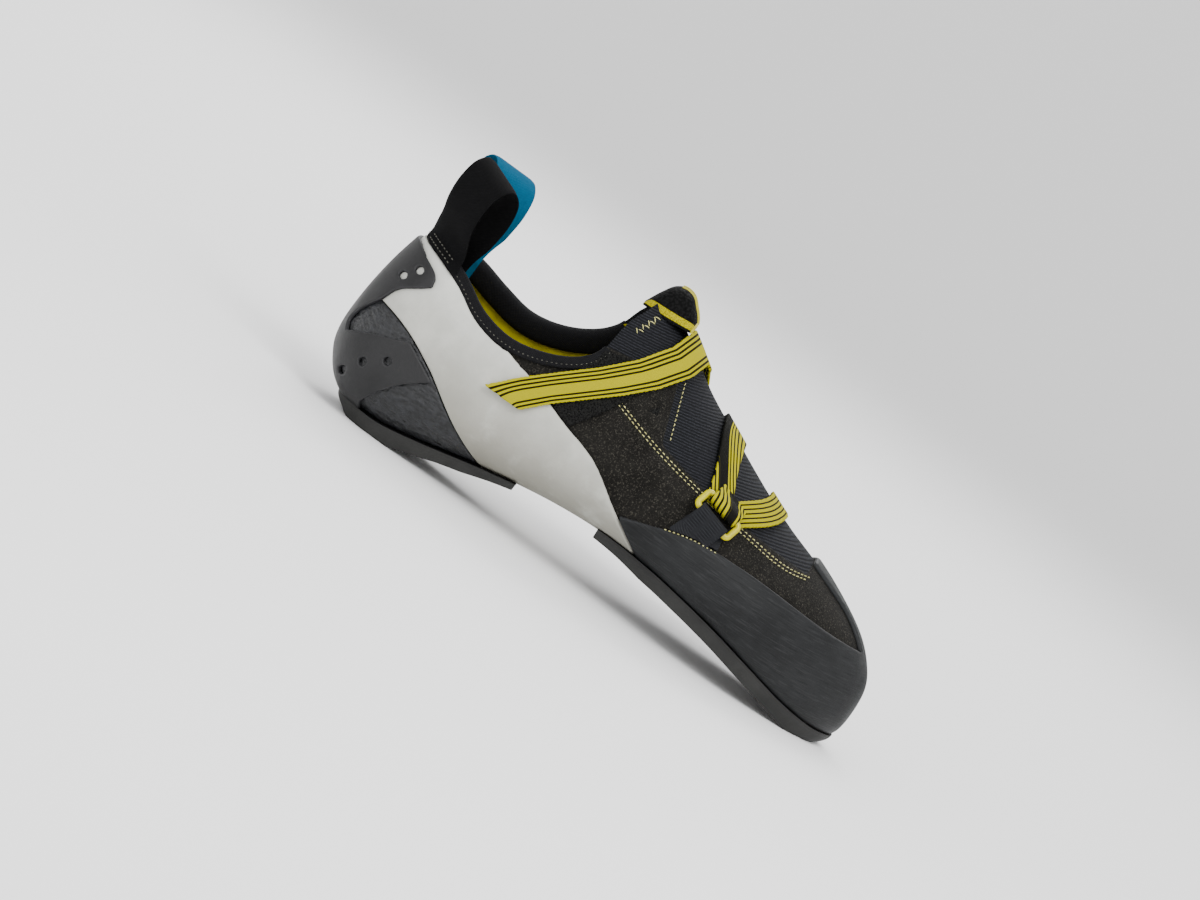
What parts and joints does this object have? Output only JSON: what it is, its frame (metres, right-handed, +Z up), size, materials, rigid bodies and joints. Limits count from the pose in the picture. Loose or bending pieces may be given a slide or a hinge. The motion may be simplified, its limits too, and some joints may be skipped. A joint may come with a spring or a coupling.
{
  "type": "climbing shoe",
  "caption": "Right climbing shoe: low suede upper in layers of rubber, stretch tongue, one strap in a Z through two rings, and pull loops at the heel.",
  "frame": {"origin": "on the floor, in the middle of the flat spot under the heel", "axes": "+X from heel to toe, +Y to the big toe's side, +Z up"},
  "size_m": [0.249, 0.0892, 0.1197],
  "materials": {
    "upper": "suede, speckled",
    "collar_binding": "padded and ribbed, black",
    "tongue": "ribbed stretch fabric, dark blue-grey",
    "tongue_tab": "grained, black",
    "insole": "yellow lining",
    "sling": "pale grey, matt",
    "heel_base": "dark, textured",
    "heel_rubber": "dark grey, satin",
    "toe_rand": "dark grey, finely ridged",
    "outsole": "dark grey, ground edge",
    "loop_patch": "touch fastener loops, black",
    "strap_top": "woven, yellow with thin dark lines",
    "strap_diagonal": "woven, black with slanted yellow stripes",
    "strap_vamp": "woven, yellow with thin dark lines",
    "ring_lateral": "bright yellow, glossy",
    "ring_medial": "bright yellow, glossy",
    "keeper_lateral": "woven tape, black",
    "keeper_medial": "woven tape, black",
    "pull_loop_lateral": "woven tape, black",
    "pull_loop_medial": "woven tape, blue"
  },
  "bodies": {
    "root": {"upper": "upper", "collar_binding": "collar_binding", "tongue": "tongue", "tongue_tab": "tongue_tab", "insole": "insole", "sling": "sling", "heel_base": "heel_base", "heel_rubber": "heel_rubber", "toe_rand": "toe_rand", "outsole": "outsole", "loop_patch": "loop_patch", "strap_top": "strap_top", "strap_diagonal": "strap_diagonal", "strap_vamp": "strap_vamp", "ring_lateral": "ring_lateral", "ring_medial": "ring_medial", "keeper_lateral": "keeper_lateral", "keeper_medial": "keeper_medial", "pull_loop_lateral": "pull_loop_lateral", "pull_loop_medial": "pull_loop_medial"}
  },
  "joints": []
}
